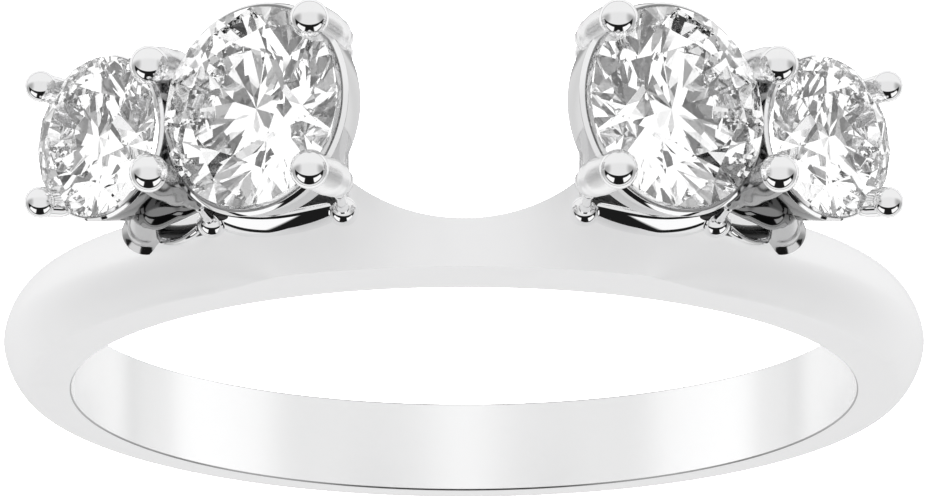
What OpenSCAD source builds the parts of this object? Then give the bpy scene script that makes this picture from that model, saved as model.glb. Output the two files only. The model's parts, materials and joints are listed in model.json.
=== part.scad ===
// Ring guard enhancer: a plain band that is worn beside a solitaire ring and
// carries a pair of round stones on each side of a gap for the solitaire's
// stone. It lies on its back side, with the stones towards -Y.
//
// The ring is drawn upright first: X across, Y along the finger towards the
// back, Z up through the gap between the stones, origin in the middle of the
// finger hole. lying() then lays it down as it rests by itself.

/* [Finger hole] */
// Inside diameter of the band
finger_d = 17.3; // [15:0.1:21]

/* [Band] */
// Width of the band
band_w = 2; // [1.8:0.05:2.4]
// Bevel of the inner edges
inner_ease = 0.03; // [0.02:0.01:0.08]
// Thickness of the band at the bottom
bottom_t = 1.19; // [1.05:0.01:1.4]
// Thickness of the band at the top, under the stones
top_t = 1.78; // [1.6:0.01:2.2]
// Height of the domed outside over its side edges
crown_rise = 0.49; // [0.3:0.01:0.7]
// Angle from the top at which the square-edged top runs out
flank_angle = 47; // [42:1:50]
// Thickness of the band where the square-edged top runs out
flank_t = 0.85; // [0.7:0.01:1]

/* [Saddle] */
// Radius of the notch that goes round the solitaire's setting
saddle_r = 3.7; // [3:0.1:5]
// Width of band that is left in the middle of the notch
saddle_land = 1.09; // [0.9:0.01:1.3]

/* [Stones] */
// Diameter of each large stone
large_d = 4.43; // [4:0.05:4.8]
// Diameter of each small stone
small_d = 3.53; // [3.2:0.01:3.8]
// Table width as a share of the diameter
table_share = 0.57; // [0.53:0.01:0.62]
// Slope of the crown's main facets
crown_angle = 34.5; // [32:0.5:36]
// Slope of the pavilion's main facets
pavilion_angle = 40.8; // [40:0.1:42]
// Thickness of the girdle as a share of the diameter
girdle_share = 0.02; // [0.01:0.005:0.04]
// Length of the lower facets as a share of the pavilion
lower_share = 0.78; // [0.7:0.01:0.85]

/* [Layout] */
// Free width between the two large settings
center_gap = 4.43; // [4:0.01:6]
// How far the stones sit behind the middle of the band
head_back = 2; // [1.85:0.01:2.1]
// Height of the large stones' edge above the band
large_lift = 3.17; // [2.8:0.01:3.6]
// Outward lean of the large stones
large_lean = 33; // [28:1:38]
// Outward lean of the small stones
small_lean = 43.5; // [38:0.5:48]
// Slope of the line from a large stone down to its small one
row_fall = 35.3; // [32:0.1:39]
// Gap between the edges of a large stone and its small one
stone_gap = 0.13; // [0.12:0.01:0.3]

/* [Settings] */
// Clearance between a stone and the metal around it
seat_clear = 0.03; // [0.02:0.01:0.05]
// How far the rim stands out beyond a large stone
large_rim_over = 0.17; // [0.14:0.01:0.22]
// How far the rim stands out beyond a small stone
small_rim_over = 0.08; // [0.06:0.01:0.12]
// Height of a rim's outer edge below the middle of the stone's edge
rim_drop = 0.2; // [0.16:0.01:0.24]
// Width and height of the bevel of a rim
rim_bevel = 0.07; // [0.05:0.01:0.09]
// Slope of the seat walls and the prongs towards the stone's axis
taper = 11.7; // [8:0.1:14]
// Depth of the seat wall under a large stone
large_seat_h = 0.92; // [0.8:0.01:1.1]
// Depth of the seat wall under a small stone
small_seat_h = 1.1; // [0.9:0.01:1.25]
// Width of the ledge that carries the stone
ledge_w = 0.45; // [0.4:0.01:0.6]

/* [Prongs] */
// Radius of the large prong tips
tip_r = 0.43; // [0.38:0.01:0.48]
// Radius of the small prong tips
small_tip_r = 0.35; // [0.3:0.01:0.38]
// Radius of a prong's shaft as a share of its tip
shaft_share = 0.88; // [0.8:0.01:0.95]
// Radius of a prong's lower end as a share of its tip
tail_share = 0.5; // [0.45:0.01:0.6]
// Distance of a gap prong's tip beyond the large stone's edge
gap_beyond = 0.23; // [0.2:0.01:0.3]
// Height of a gap prong's tip above the stone's edge
gap_up = 0.4; // [0.35:0.01:0.5]
// Depth of a gap prong's lower end under the stone's edge
gap_down = 1.4; // [1.2:0.01:1.6]
// Height of a shared prong's tip above the large stone's edge
shared_up = 0.69; // [0.6:0.01:0.8]
// Depth of a shared prong's lower end under the large stone's edge
shared_down = 1.15; // [1:0.01:1.4]
// How far an outer prong's tip stands in over the small stone's edge
outer_in = 0.02; // [0:0.01:0.08]
// Height of an outer prong's tip above the stone's edge
outer_up = 0.56; // [0.5:0.01:0.65]
// Depth of an outer prong's lower end under the stone's edge
outer_down = 0.75; // [0.6:0.01:0.85]

/* [Feet and rails] */
// Radius of the rounded feet on the band
foot_r = 0.31; // [0.27:0.01:0.36]
// Height of the middle of a foot above the crown of the band
foot_rise = 0.14; // [0.08:0.01:0.18]
// Distance of the feet from the middle of the stones, along the finger
foot_spread = 1.66; // [1.6:0.01:1.8]
// Radius of the rails between the feet
rail_r = 0.2; // [0.17:0.01:0.24]
// Extra height of the rear feet, which clear the ring worn beside this one
rear_lift = 0.45; // [0.35:0.01:0.6]
// Radius of a leg where it leaves the prong
leg_r = 0.21; // [0.17:0.01:0.24]
// Radius of the posts under the small stones
post_r = 0.33; // [0.28:0.01:0.36]

/* [Hidden] */

// Facets of a full turn of the band and of the small round parts
band_fn = 144;
round_fn = 36;
// Balls at the tails of the prongs are this much wider than their shafts
knuckle = 1.09;

finger_r = finger_d / 2;
half_w = band_w / 2;

// The outside of the band is round about a point above the finger hole
crown_r = (finger_d + bottom_t + top_t) / 2;
crown_z = (top_t - bottom_t) / 2;
shoulder_r = crown_r - crown_rise;
// Radius of the dome across the band
dome_r = (pow(half_w, 2) + pow(crown_rise, 2)) / (2 * crown_rise);

large_r = large_d / 2;
small_r = small_d / 2;

// Outer radius of a seat wall at its foot
function wall_foot_r(r, over, h) = r + over - (h - rim_drop) * tan(taper);

// Height of the crown of the band at a distance x from the middle
function crown_at(x) = crown_z + sqrt(pow(crown_r, 2) - pow(x, 2));

// Directions in the upright ring, for a setting that leans out to the left:
// out is a stone's axis, in points across it towards the gap
function out_dir(lean) = [-sin(lean), 0, cos(lean)];
function in_dir(lean) = [cos(lean), 0, sin(lean)];
back_dir = [0, 1, 0];

// Middle of each left stone, in the plane of its girdle
large_x = center_gap / 2 + wall_foot_r(large_r, large_rim_over, large_seat_h)
          * cos(large_lean) + large_seat_h * sin(large_lean);
large_mid = [-large_x, head_back, crown_at(large_x) + large_lift];
row_step = large_r + small_r + stone_gap;
small_mid = large_mid - row_step * in_dir(row_fall);

// A point of a setting: across towards the gap, along the finger, outwards
function on_head(mid, lean, at) =
    mid + at[0] * in_dir(lean) + at[1] * back_dir + at[2] * out_dir(lean);

// A point beside a stone, by its angle from the inner side, its distance
// beyond the stone's edge and its height over the girdle
function beside(mid, lean, r, angle, beyond, up) =
    on_head(mid, lean, [(r + beyond) * cos(angle), (r + beyond) * sin(angle), up]);

// Where the front prong of each pair stands, by its angle from the inner side
gap_angle = 43.5;
outer_angle = 131.7;
// Shared prongs stand over the touch point of the two stones
shared_spread = 0.546 * large_r;

// side is -1 for the front prong of a pair and 1 for the rear one. A prong
// leans in by the taper from its tip to its tail
function prong_at(mid, lean, r, angle, beyond, up, down) =
    beside(mid, lean, r, angle, beyond - (up + down) * tan(taper), -down);
function gap_tip(side) =
    beside(large_mid, large_lean, large_r, side * gap_angle, gap_beyond, gap_up);
function gap_tail(side) =
    prong_at(large_mid, large_lean, large_r, side * gap_angle, gap_beyond, gap_up,
             gap_down);
function shared_at(side, up) =
    on_head(large_mid, row_fall, [-large_r, side * shared_spread, up]);
function outer_tip(side) =
    beside(small_mid, small_lean, small_r, side * outer_angle, -outer_in, outer_up);
function outer_tail(side) =
    beside(small_mid, small_lean, small_r, side * outer_angle, -outer_in, -outer_down);

// Feet stand on the band's crown in front and clear of it at the rear
gap_foot_x = center_gap / 2 + 1.15 * foot_r;
shared_foot_x = large_x + 0.39 * large_r;
post_foot_x = -small_mid[0] - 0.56 * small_r;
function foot(x, side) =
    let (lift = foot_rise + (side > 0 ? rear_lift : 0),
         turn = asin(x / crown_r))
    [-(crown_r + lift) * sin(turn), head_back + side * foot_spread,
     crown_z + (crown_r + lift) * cos(turn)];
// Posts rise from their feet into the wall under the small stone
function post_top(side) =
    on_head(small_mid, small_lean,
            [0.35 * small_r, side * 0.66 * small_r, -0.9 * small_seat_h]);

// Cut of a brilliant: heights over the girdle's middle and radii
function half_girdle(d) = d * girdle_share / 2;
function table_r(d) = d * table_share / 2;
function crown_h(d) = half_girdle(d) + (d / 2 - table_r(d)) * tan(crown_angle);
function culet_z(d) = -half_girdle(d) - d / 2 * tan(pavilion_angle);
// Star points halve the crown, on the edge between two main facets
function star_r(d) = (d / 2 + table_r(d)) / 2;
function star_z(d) =
    half_girdle(d) + (d / 2 - star_r(d) * cos(22.5)) * tan(crown_angle);
// Lower points end the lower facets, on the edge between two main facets
function lower_r(d) = d / 2 * (1 - lower_share);
function lower_z(d) =
    -half_girdle(d) - (d / 2 - lower_r(d) * cos(22.5)) * tan(pavilion_angle);

// Height of a point over the floor's direction when the ring lies at a tilt
function height(p, tilt) = p[2] * sin(tilt) - p[1] * cos(tilt);
// Lowest height of a ball and of a rim that lies across a stone's axis
function ball_low(p, r, tilt) = height(p, tilt) - r;
function rim_low(mid, lean, r, tilt) =
    height(mid, tilt) - r * sqrt(1 - pow(sin(tilt) * cos(lean), 2));
function heads_low(tilt) = min(
    rim_low(on_head(large_mid, large_lean, [0, 0, -rim_drop]), large_lean,
            large_r + large_rim_over, tilt),
    rim_low(on_head(small_mid, small_lean, [0, 0, -rim_drop]), small_lean,
            small_r + small_rim_over, tilt),
    ball_low(gap_tip(1), tip_r, tilt),
    ball_low(shared_at(1, shared_up), tip_r, tilt),
    ball_low(outer_tip(1), small_tip_r, tilt),
    ball_low(foot(gap_foot_x, 1), foot_r, tilt),
    ball_low(foot(shared_foot_x, 1), foot_r, tilt),
    ball_low(foot(post_foot_x, 1), foot_r, tilt));
// The bottom of the band touches with the outer edge of its back
function band_low(tilt) =
    -(shoulder_r - crown_z) * sin(tilt) - half_w * cos(tilt);
// The tilt at which the settings and the band touch the floor together
function level(low, high, steps) =
    let (mid = (low + high) / 2)
    steps == 0 ? mid
    : heads_low(mid) < band_low(mid) ? level(mid, high, steps - 1)
    : level(low, mid, steps - 1);
rest_tilt = level(0, 30, 24);

// Lays the upright ring on its back side
module lying() {
    rotate([-rest_tilt, 0, 0])
        multmatrix([[-1, 0, 0, 0], [0, 0, -1, 0], [0, -1, 0, 0], [0, 0, 0, 1]])
            children();
}

// Turns Z to the axis of a setting, at its stone's middle
module at_head(mid, lean) {
    translate(mid) rotate([0, -lean, 0]) children();
}

// A round bar between two points, of one radius at each end
module bar(a, b, ra, rb) {
    span = b - a;
    turn = atan2(span[1], span[0]);
    fall = acos(span[2] / norm(span));
    translate(a) rotate([0, fall, turn])
        cylinder(h = norm(span), r1 = ra, r2 = rb, $fn = round_fn);
}

module ball(p, r) {
    translate(p) sphere(r = r, $fn = round_fn);
}

// A disc round the finger's axis, as thick as the band
module disc(r, h = band_w) {
    rotate([90, 0, 0]) cylinder(r = r, h = h, center = true, $fn = band_fn);
}

// The domed band before its finger hole is cut
module domed_ring() {
    translate([0, 0, crown_z]) rotate([90, 0, 0]) rotate_extrude($fn = band_fn)
        intersection() {
            translate([crown_r - dome_r, 0]) circle(r = dome_r, $fn = band_fn);
            translate([finger_r - crown_z - 1, -half_w]) square([crown_r, band_w]);
        }
}

// The square-edged top under the stones
module square_top() {
    intersection() {
        translate([0, 0, crown_z]) disc(crown_r);
        rotate([90, 0, 0]) linear_extrude(band_w, center = true)
            intersection_for(side = [-1, 1])
                rotate(side * flank_angle)
                    translate([-2 * crown_r, 0])
                        square([4 * crown_r, finger_r + flank_t]);
    }
}

// The finger hole and the bevel of its edges
module finger_hole() {
    disc(finger_r, 2 * band_w);
    for (side = [-1, 1])
        translate([0, side * (half_w - inner_ease), 0]) rotate([-90 * side, 0, 0])
            cylinder(r1 = finger_r, r2 = finger_r + 2 * inner_ease,
                     h = 2 * inner_ease, $fn = band_fn);
}

// Upright round cut in the back of the band
module saddle() {
    translate([0, saddle_land - half_w + saddle_r, 0])
        cylinder(r = saddle_r, h = 2 * crown_r, $fn = band_fn);
}

module shank() {
    difference() {
        union() {
            domed_ring();
            square_top();
        }
        finger_hole();
        saddle();
    }
}

// Bevelled rim and tapered wall round a stone, by radius
module seat_ring(mid, lean, r, over, h) {
    at_head(mid, lean) difference() {
        union() {
            translate([0, 0, -h])
                cylinder(r1 = wall_foot_r(r, over, h), r2 = r + over,
                         h = h - rim_drop, $fn = 2 * round_fn);
            translate([0, 0, -rim_drop])
                cylinder(r1 = r + over, r2 = r + over - rim_bevel,
                         h = rim_bevel, $fn = 2 * round_fn);
        }
        translate([0, 0, -2 * h])
            cylinder(r = r - ledge_w, h = 4 * h, $fn = 2 * round_fn);
    }
}

// Ball tip and a shaft that narrows to its tail
module prong(tip, tail, r) {
    ball(tip, r);
    bar(tip, tail, r * shaft_share, r * tail_share);
    ball(tail, r * tail_share * knuckle);
}

// Leg from a tail or a wall down to the rounded foot
module leg(top, foot_at, r) {
    bar(top, foot_at, r, r * 0.9);
    ball(foot_at, foot_r);
}

module left_settings() {
    seat_ring(large_mid, large_lean, large_r, large_rim_over, large_seat_h);
    seat_ring(small_mid, small_lean, small_r, small_rim_over, small_seat_h);
    for (side = [-1, 1]) {
        prong(gap_tip(side), gap_tail(side), tip_r);
        leg(gap_tail(side), foot(gap_foot_x, side), leg_r);
        prong(shared_at(side, shared_up), shared_at(side, -shared_down), tip_r);
        leg(shared_at(side, -shared_down), foot(shared_foot_x, side), leg_r);
        prong(outer_tip(side), outer_tail(side), small_tip_r);
        leg(post_top(side), foot(post_foot_x, side), post_r);
        bar(foot(gap_foot_x, side), foot(shared_foot_x, side), rail_r, rail_r);
        bar(foot(shared_foot_x, side), foot(post_foot_x, side), rail_r, rail_r);
    }
    for (x = [gap_foot_x, shared_foot_x, post_foot_x])
        bar(foot(x, -1), foot(x, 1), rail_r * 0.85, rail_r * 0.85);
}

// Space of a left stone and the clearance round it
module stone_room(mid, lean, d) {
    c = seat_clear;
    at_head(mid, lean) rotate_extrude($fn = 2 * round_fn)
        polygon([[0, culet_z(d) - 2 * c],
                 [lower_r(d) + c, lower_z(d) - c],
                 [d / 2 + c, -half_girdle(d) - c],
                 [d / 2 + c, half_girdle(d) + c],
                 [star_r(d) + c, star_z(d) + c],
                 [table_r(d) + c, crown_h(d) + c],
                 [0, crown_h(d) + c]]);
}

module both_sides() {
    children();
    mirror([1, 0, 0]) children();
}

// Round brilliant with its girdle in the XY plane and its table upwards
module brilliant(d) {
    rim = [for (i = [0 : 15]) 22.5 * i];
    mains = [for (i = [0 : 7]) 45 * i];
    function ring_of(angles, r, z) = [for (a = angles) [r * cos(a), r * sin(a), z]];
    halfway = [for (a = mains) a + 22.5];
    // Point order: table 0, star 8, girdle top 16, girdle bottom 32, lower 48, culet 56
    points = concat(
        ring_of(mains, table_r(d), crown_h(d)),
        ring_of(halfway, star_r(d), star_z(d)),
        ring_of(rim, d / 2, half_girdle(d)),
        ring_of(rim, d / 2, -half_girdle(d)),
        ring_of(halfway, lower_r(d), lower_z(d)),
        [[0, 0, culet_z(d)]]);
    function next(i) = (i + 1) % 8;
    function prev(i) = (i + 7) % 8;
    function after(i) = (i + 1) % 16;
    polyhedron(points, convexity = 2, faces = concat(
        [[for (i = [7 : -1 : 0]) i]],
        [for (i = [0 : 7]) [i, next(i), 8 + i]],
        [for (i = [0 : 7]) [i, 8 + i, 16 + 2 * i, 8 + prev(i)]],
        [for (i = [0 : 7]) [8 + i, 17 + 2 * i, 16 + 2 * i]],
        [for (i = [0 : 7]) [8 + i, 16 + 2 * next(i), 17 + 2 * i]],
        [for (i = [0 : 15]) [16 + i, 16 + after(i), 32 + after(i), 32 + i]],
        [for (i = [0 : 7]) [32 + 2 * i, 33 + 2 * i, 48 + i]],
        [for (i = [0 : 7]) [33 + 2 * i, 32 + 2 * next(i), 48 + i]],
        [for (i = [0 : 7]) [32 + 2 * i, 48 + i, 56, 48 + prev(i)]]));
}

module ring_mount() {
    color("gainsboro") lying() difference() {
        union() {
            shank();
            both_sides() left_settings();
        }
        both_sides() {
            stone_room(large_mid, large_lean, large_d);
            stone_room(small_mid, small_lean, small_d);
        }
    }
}

module large_stone_left() {
    color("aliceblue") lying()
        at_head(large_mid, large_lean) brilliant(large_d);
}

module large_stone_right() {
    color("aliceblue") lying()
        mirror([1, 0, 0]) at_head(large_mid, large_lean) brilliant(large_d);
}

module small_stone_left() {
    color("aliceblue") lying()
        at_head(small_mid, small_lean) brilliant(small_d);
}

module small_stone_right() {
    color("aliceblue") lying()
        mirror([1, 0, 0]) at_head(small_mid, small_lean) brilliant(small_d);
}

ring_mount();
large_stone_left();
large_stone_right();
small_stone_left();
small_stone_right();
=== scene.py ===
import json
import math

import bmesh
import bpy
from mathutils import Matrix, Vector


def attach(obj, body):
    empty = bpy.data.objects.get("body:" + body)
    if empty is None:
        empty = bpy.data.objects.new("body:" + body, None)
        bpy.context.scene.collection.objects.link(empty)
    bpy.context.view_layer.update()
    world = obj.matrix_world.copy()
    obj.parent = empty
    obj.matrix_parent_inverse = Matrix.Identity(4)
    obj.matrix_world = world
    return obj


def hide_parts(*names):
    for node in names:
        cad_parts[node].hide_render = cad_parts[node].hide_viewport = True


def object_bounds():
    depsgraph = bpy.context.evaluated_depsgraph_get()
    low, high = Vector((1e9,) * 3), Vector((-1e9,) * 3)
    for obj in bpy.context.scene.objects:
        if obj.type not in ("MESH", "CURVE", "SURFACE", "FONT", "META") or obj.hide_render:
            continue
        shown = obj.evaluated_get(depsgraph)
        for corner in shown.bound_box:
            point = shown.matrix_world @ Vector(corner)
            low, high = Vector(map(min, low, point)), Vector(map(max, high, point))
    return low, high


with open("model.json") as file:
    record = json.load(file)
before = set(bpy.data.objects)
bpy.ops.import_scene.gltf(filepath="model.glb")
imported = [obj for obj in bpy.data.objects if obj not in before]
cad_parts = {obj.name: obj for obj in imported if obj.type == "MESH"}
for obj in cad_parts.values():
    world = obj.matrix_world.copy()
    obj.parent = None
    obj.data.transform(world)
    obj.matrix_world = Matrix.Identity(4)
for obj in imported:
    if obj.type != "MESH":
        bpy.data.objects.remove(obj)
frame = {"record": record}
cad_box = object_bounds()

# Sizes of the band. All sizes and places of the ring are in millimetres.
FINGER_R = 8.65
INNER_EASE = 0.03
BOTTOM_T = 1.19
TOP_T = 1.78
CROWN_RISE = 0.6
CROWN_R = (2 * FINGER_R + BOTTOM_T + TOP_T) / 2
CROWN_Z = (TOP_T - BOTTOM_T) / 2
SHOULDER_R = CROWN_R - CROWN_RISE
HALF_W = 1.0
DOME_POWER = 1.63
FLANK_ANGLE = math.radians(47)
FLANK_T = 0.85
SADDLE_R = 3.7
WAIST_W = 1.09
SADDLE_Y = WAIST_W - HALF_W + SADDLE_R
SADDLE_CUT_H = 20.0
SADDLE_CUT_Z = 12.0

# Sizes of the stones and their places
LARGE_R = 2.215
SMALL_R = 1.765
LARGE_LEAN = math.radians(33)
SMALL_LEAN = math.radians(43.5)
ROW_FALL = math.radians(35.3)
STONE_GAP = 0.13
HEAD_BACK = 2.0
LARGE_LIFT = 3.17
CENTER_GAP = 4.43

# Cut of the stones: table and girdle are shares of the width, and the inner
# points of the lower facets a share of the radius
TABLE_W = 0.57
GIRDLE_T = 0.02
CROWN_SLOPE = math.tan(math.radians(34.5))
PAVILION_SLOPE = math.tan(math.radians(40.8))
LOWER_POINT = 0.22

# Sizes of the seats. The rim stands beyond the edge of the stone, and the ledge
# falls inwards under it. The outside of the wall starts WALL_START under the rim,
# and its faces lie within WALL_NEAR of its slope.
TAPER = math.tan(math.radians(11.7))
LARGE_RIM_OVER = 0.17
SMALL_RIM_OVER = 0.08
LARGE_SEAT_H = 0.92
SMALL_SEAT_H = 1.1
RIM_DROP = 0.2
RIM_BEVEL = 0.08
RIM_CLEAR = 0.03
LEDGE_CLEAR = 0.02
LEDGE_DROP = 0.16
LEDGE_SLOPE = 0.86
LEDGE_W = 0.45
EDGE_ROUND = 0.012
ROUND_SHARE = 0.45
WALL_START = 0.02
WALL_NEAR = 0.03

# Sizes of the prongs, their feet, the rails and the posts
TIP_R = 0.43
SMALL_TIP_R = 0.35
FOOT_R = 0.31
FOOT_BALL_R = FOOT_R * 1.08
FOOT_RISE = 0.14
FOOT_SPREAD = 1.66
REAR_LIFT = 0.45
NECK_BALL_R = 0.12
KNOT_BALL_R = 0.11
WEB_BALL_R = 0.3
RAIL_R = 0.2
RAIL_BREADTH = RAIL_R * 1.75
RAIL_THICKNESS = RAIL_R * 0.6
RAIL_BOW = 0.28
RAIL_TURN = math.radians(35)
RAIL_NARROWING = 0.55
CROSS_BAR_R = RAIL_R * 0.85
LOW_ROD_R = 0.09
LONG_CORE_R = 0.26
LONG_CORE_BOW = 0.8
SHORT_CORE_R = 0.15
SHORT_BOW = 0.5
POST_R = 0.33
FRONT_FLARE_R = POST_R * 1.62
REAR_FLARE_R = POST_R * 1.4

# Places of the prongs: the angle round the stone, the distance beyond its edge,
# and how far the tip stands above the girdle and the tail below it
GAP_ANGLE = math.radians(43.5)
GAP_BEYOND = 0.23
GAP_TAIL_BEYOND = 0.06
GAP_UP = 0.4
GAP_DOWN = 1.34
SHARED_SPREAD = 0.546 * LARGE_R
SHARED_UP = 0.69
SHARED_DOWN = 1.22
OUTER_ANGLE = math.radians(131.7)
OUTER_IN = 0.02
OUTER_TAIL_IN = 0.2
OUTER_UP = 0.56
OUTER_DOWN = 1.05
TIP_SINK = Vector((0, -0.068, -0.018))
TAIL_SINK = TIP_SINK * 1.7
NECK_START = 0.66
GAP_FOOT_OUT = FOOT_R * 1.15
SHARED_FOOT_OUT = LARGE_R * 0.39
POST_FOOT_IN = SMALL_R * 0.56

# Small steps from a point of the head: across, outward to the front or the back,
# and up
GAP_FOOT_STEP = (0, 0.055, 0.02)
SHARED_FOOT_STEP = (0.07, 0, 0.14)
POST_FOOT_STEP = (0.16, -0.17, 0)
POST_TOP_STEP = (0, -0.06, 1.75)
KNOT_STEP = (-0.02, -0.06, -0.08)
WEB_STEP = (-0.02, -0.1, 1.58)
TIE_STEP = (0.1, 0, 0.75)
RAIL_STEP = (0, -0.09, 0.1)
LOW_ROD_START = (0.25, 0.2, -0.02)
LOW_ROD_END = (-0.3, 0.12, -0.13)
LONG_CORE_STEP = (0, -0.28, 0.08)
SHORT_CORE_STEP = (0.2, 0, 0.15)

# Radius along the rods, as pairs of a share of the length and the radius there
GAP_PRONG_SHAPE = ((0, TIP_R * 0.95), (0.4, TIP_R * 0.99), (0.62, TIP_R * 0.92),
                   (0.8, TIP_R * 0.7), (0.94, TIP_R * 0.36), (1, 0.02))
SHARED_PRONG_SHAPE = ((0, TIP_R * 0.9), (0.2, TIP_R * 0.95), (0.5, TIP_R * 0.78),
                      (0.8, TIP_R * 0.4), (1, 0.08))
OUTER_PRONG_SHAPE = ((0, SMALL_TIP_R * 0.9), (0.3, SMALL_TIP_R * 0.9),
                     (0.75, SMALL_TIP_R * 0.5), (1, 0.05))
UPPER_NECK_SHAPE = ((0, 0.12), (0.8, 0.1), (1, 0.1))
LOWER_NECK_SHAPE = ((0, 0.1), (0.5, 0.11), (0.75, 0.15), (1, 0.22))
BELL_SHAPE = ((0, 0.09), (0.4, 0.1), (0.7, 0.13), (1, 0.22))
POST_SHAPE = ((0, 0.2), (0.12, POST_R * 1.08), (0.8, POST_R * 1.12), (0.9, POST_R * 1.2))
WEB_SHAPE = ((0, 0.34), (0.2, 0.4), (0.7, 0.2), (1, 0.08))
TIE_SHAPE = ((0, 0.1), (0.5, 0.11), (1, 0.09))

# How far a face's normal of length 1 goes one way: all but straight that way,
# slanting that way, or just turned that way
FACING = 0.95
SLANTING = 0.2
TURNED = 0.1

# The stub of a rod inside a ball: its radius, and its share of the way inwards
STUB_R = 0.1
STUB_SHARE = 0.1

# Fineness of the meshes
BAND_POINTS = 361
SECTION_POINTS = 101
SADDLE_SIDES = 256
SEAT_SIDES = 160
CORNER_STEPS = 3
ROD_SIDES = 40
ROD_STEPS = 28
BOW_STEPS = 12
RAIL_STEPS = 24
BALL_SEGMENTS = 56
BALL_RINGS = 32
STONE_SIDES = 96
CREASE = math.radians(32)
WELD = 0.0005

# The camera stands half a metre away at the photograph's angle, in radians from
# the upright ring's Z. Its distance, what it aims above the ring's middle and the
# floor's reach are in metres, its scale in pixels of the photograph to a
# millimetre, the photograph's width in pixels and the sensor in millimetres.
CAMERA_ANGLE = 0.2663
CAMERA_FAR = 0.52
CAMERA_AIM = 0.00211
CAMERA_SCALE = 45.4
PHOTO_W = 928
SENSOR = 12.0
FLOOR_REACH = 3.0

# The upright ring has X across, Y along the finger to the back and Z up
# through the gap between the stones. LAY turns it to where it rests.
bore = next(m for m in frame["record"]["mounts"] if m["name"] == "finger_bore")
TILT = math.atan2(bore["axis"][1], bore["axis"][2])
LAY_AXES = Matrix(((-1, 0, 0, 0), (0, 0, -1, 0), (0, -1, 0, 0), (0, 0, 0, 1)))
LAY_TURN = Matrix.Rotation(-TILT, 4, "X") @ LAY_AXES
LAY = Matrix.Scale(0.001, 4) @ LAY_TURN
MIRROR = Matrix.Scale(-1, 4, Vector((1, 0, 0)))


def lay_direction(x, y, z):
    """An upright ring's direction as it is once the ring is laid down."""
    return (LAY_TURN.to_3x3() @ Vector((x, y, z))).normalized()


# Formulas in node trees
class Term:
    """A number in a node tree that can be reckoned with as in a formula."""

    def __init__(self, tree, socket):
        self.tree = tree
        self.socket = socket

    def work(self, operation, *others, clamp=False):
        node = self.tree.nodes.new("ShaderNodeMath")
        node.operation = operation
        node.use_clamp = clamp
        for slot, value in zip(node.inputs, (self,) + others):
            connect(self.tree, value, slot)
        return Term(self.tree, node.outputs[0])

    def __add__(self, other):
        return self.work("ADD", other)

    def __sub__(self, other):
        return self.work("SUBTRACT", other)

    def __rsub__(self, other):
        return fixed(self.tree, other).work("SUBTRACT", self)

    def __mul__(self, other):
        return self.work("MULTIPLY", other)

    def __truediv__(self, other):
        return self.work("DIVIDE", other)

    def __rtruediv__(self, other):
        return fixed(self.tree, other).work("DIVIDE", self)

    def __pow__(self, other):
        return self.work("POWER", other)


def connect(tree, value, slot):
    """Feeds a socket with a term, another socket or a plain value."""
    if isinstance(value, Term):
        tree.links.new(value.socket, slot)
    elif isinstance(value, bpy.types.NodeSocket):
        tree.links.new(value, slot)
    else:
        slot.default_value = value


def fixed(tree, value):
    node = tree.nodes.new("ShaderNodeValue")
    node.outputs[0].default_value = value
    return Term(tree, node.outputs[0])


def put_node(tree, kind, inputs=None, **settings):
    """Adds a node with its settings and feeds its inputs by name."""
    node = tree.nodes.new(kind)
    for key, value in settings.items():
        setattr(node, key, value)
    for name, value in (inputs or {}).items():
        connect(tree, value, node.inputs[name])
    return node


def split_vector(tree, vector):
    node = put_node(tree, "ShaderNodeSeparateXYZ", {0: vector})
    return [Term(tree, s) for s in node.outputs]


def join_vector(tree, x, y, z):
    node = put_node(tree, "ShaderNodeCombineXYZ", {0: x, 1: y, 2: z})
    return node.outputs[0]


def ramp(term, low, high, to_low=0.0, to_high=1.0):
    """Goes smoothly from to_low to to_high as the term goes from low to high."""
    node = put_node(term.tree, "ShaderNodeMapRange",
                    {"Value": term, "From Min": low, "From Max": high,
                     "To Min": to_low, "To Max": to_high},
                    interpolation_type="SMOOTHSTEP")
    return Term(term.tree, node.outputs[0])


def blend(share, a, b):
    """a where share is 0 and b where it is 1."""
    return (b - a) * share + a


# Making meshes
def new_shape_tree(name, sizes):
    """Geometry node tree with a mesh input and one number input for each size."""
    tree = bpy.data.node_groups.new(name, "GeometryNodeTree")
    tree.interface.new_socket("Mesh", in_out="INPUT", socket_type="NodeSocketGeometry")
    tree.interface.new_socket("Material", in_out="INPUT", socket_type="NodeSocketMaterial")
    for size in sizes:
        tree.interface.new_socket(size, in_out="INPUT", socket_type="NodeSocketFloat")
    tree.interface.new_socket("Mesh", in_out="OUTPUT", socket_type="NodeSocketGeometry")
    source = tree.nodes.new("NodeGroupInput")
    return tree, {s.name: Term(tree, s) for s in source.outputs if s.name}


def end_shape_tree(tree, geometry, material):
    real = put_node(tree, "GeometryNodeRealizeInstances", {"Geometry": geometry})
    coat = put_node(tree, "GeometryNodeSetMaterial",
                    {"Geometry": real.outputs[0], "Material": material})
    sink = tree.nodes.new("NodeGroupOutput")
    tree.links.new(coat.outputs[0], sink.inputs[0])
    return tree


def shape_mesh(tree, material, sizes, base=None):
    """Plain mesh that a geometry node tree makes of the base mesh."""
    base = base or bpy.data.meshes.new("base")
    holder = bpy.data.objects.new("holder", base)
    bpy.context.scene.collection.objects.link(holder)
    nodes = holder.modifiers.new("shape", "NODES")
    nodes.node_group = tree
    sockets = {s.name: s.identifier for s in tree.interface.items_tree if s.in_out == "INPUT"}
    nodes[sockets["Material"]] = material
    for name, value in sizes.items():
        nodes[sockets[name]] = value
    graph = bpy.context.evaluated_depsgraph_get()
    mesh = bpy.data.meshes.new_from_object(holder.evaluated_get(graph))
    holder.modifiers.remove(nodes)
    bpy.data.objects.remove(holder)
    mesh.materials.clear()
    mesh.materials.append(material)
    mesh.polygons.foreach_set("material_index", [0] * len(mesh.polygons))
    return mesh


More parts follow.
